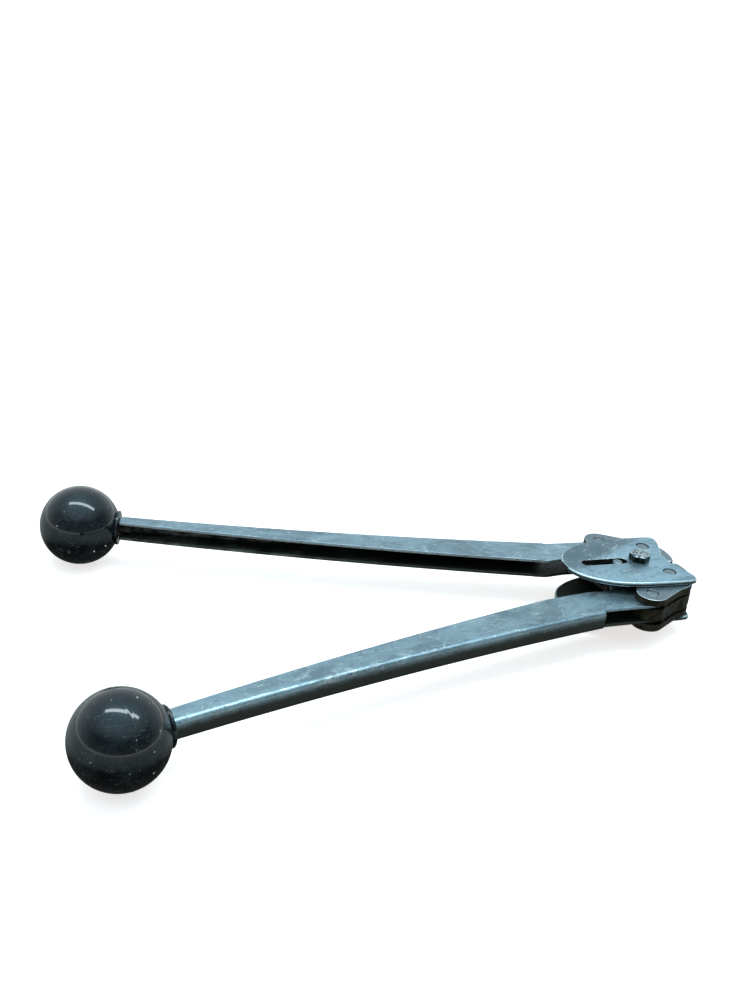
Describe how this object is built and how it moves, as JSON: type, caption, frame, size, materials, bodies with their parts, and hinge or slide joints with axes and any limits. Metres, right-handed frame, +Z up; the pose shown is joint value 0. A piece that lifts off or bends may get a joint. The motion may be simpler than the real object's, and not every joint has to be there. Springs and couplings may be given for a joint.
{
  "type": "strap sealer",
  "caption": "Hand tool with ball-ended channel handles that works notched side plates and laminated jaws to crimp a metal seal on strapping.",
  "frame": {"origin": "bottom centre of the bounding box, in the plane the knobs rest on", "axes": "+X from the knobs towards the jaws, +Y towards the rear handle, +Z up along the centre bolt"},
  "size_m": [0.376, 0.2686, 0.048],
  "materials": {
    "zinc_plate": "zinc-plated steel, dulled, scratched, with a bluish passivation",
    "zinc_channel": "zinc-plated pressed sheet, mottled and scratched, brownish where it is dirty",
    "oiled_steel": "hardened steel darkened by oil and wear, ground bright on the outer faces",
    "bright_steel": "bright zinc-plated fastener",
    "pin_steel": "ground steel pin, slightly stained",
    "stud_steel": "dark oxidised threaded steel",
    "brass": "machined brass",
    "knob_plastic": "polished black phenolic with a moulding line, scratches and dust"
  },
  "bodies": {
    "frame": {"side_plate_top": "zinc_plate", "side_plate_bottom": "zinc_plate", "anvil_block": "oiled_steel", "center_bolt": "bright_steel", "bolt_washer": "zinc_plate", "hex_nut": "bright_steel", "jaw_pivot_pin_rear": "pin_steel", "jaw_pivot_pin_front": "pin_steel"},
    "jaw_rear": {"jaw_rear_plate_top": "oiled_steel", "jaw_rear_spacer_top": "oiled_steel", "jaw_rear_core": "oiled_steel", "jaw_rear_spacer_bottom": "oiled_steel", "jaw_rear_plate_bottom": "oiled_steel", "jaw_rear_tail_pin": "pin_steel", "jaw_rear_rivet": "pin_steel"},
    "jaw_front": {"jaw_front_plate_top": "oiled_steel", "jaw_front_spacer_top": "oiled_steel", "jaw_front_core": "oiled_steel", "jaw_front_spacer_bottom": "oiled_steel", "jaw_front_plate_bottom": "oiled_steel", "jaw_front_tail_pin": "pin_steel", "jaw_front_rivet": "pin_steel"},
    "handle_rear": {"handle_rear_channel": "zinc_channel", "ball_knob_rear": "knob_plastic", "knob_insert_rear": "brass", "knob_stud_rear": "stud_steel"},
    "handle_front": {"handle_front_channel": "zinc_channel", "ball_knob_front": "knob_plastic", "knob_insert_front": "brass", "knob_stud_front": "stud_steel"},
    "slider": {"slide_pin": "pin_steel", "slide_ring_top": "pin_steel", "slide_ring_bottom": "pin_steel"}
  },
  "joints": [
    {"name": "handle_rear_pivot", "type": "hinge", "parent": "jaw_rear", "child": "handle_rear", "pos_m": [0.15113, 0.0343, 0.024], "axis": [0, 0, -1], "range_deg": [-6.05, 45.78]},
    {"name": "handle_front_pivot", "type": "hinge", "parent": "jaw_front", "child": "handle_front", "pos_m": [0.15113, -0.0343, 0.024], "axis": [0, 0, 1], "range_deg": [-6.05, 45.78]},
    {"name": "jaw_rear_pivot", "type": "hinge", "parent": "frame", "child": "jaw_rear", "pos_m": [0.17193, 0.0169, 0.024], "axis": [0, 0, 1], "range_deg": [-2.16, 16.3]},
    {"name": "jaw_front_pivot", "type": "hinge", "parent": "frame", "child": "jaw_front", "pos_m": [0.17193, -0.0169, 0.024], "axis": [0, 0, -1], "range_deg": [-2.16, 16.3]},
    {"name": "slide_pin_travel", "type": "slide", "parent": "frame", "child": "slider", "axis": [-1, 0, 0], "range_m": [-0.00274, 0.0207]}
  ],
  "couplings": [
    {"joint": "handle_front_pivot", "follows": "handle_rear_pivot", "ratio": 1},
    {"joint": "jaw_rear_pivot", "follows": "handle_rear_pivot", "ratio": 0.35567},
    {"joint": "jaw_front_pivot", "follows": "handle_rear_pivot", "ratio": 0.35567},
    {"joint": "slide_pin_travel", "follows": "handle_rear_pivot", "m_per_rad": 0.025876}
  ]
}
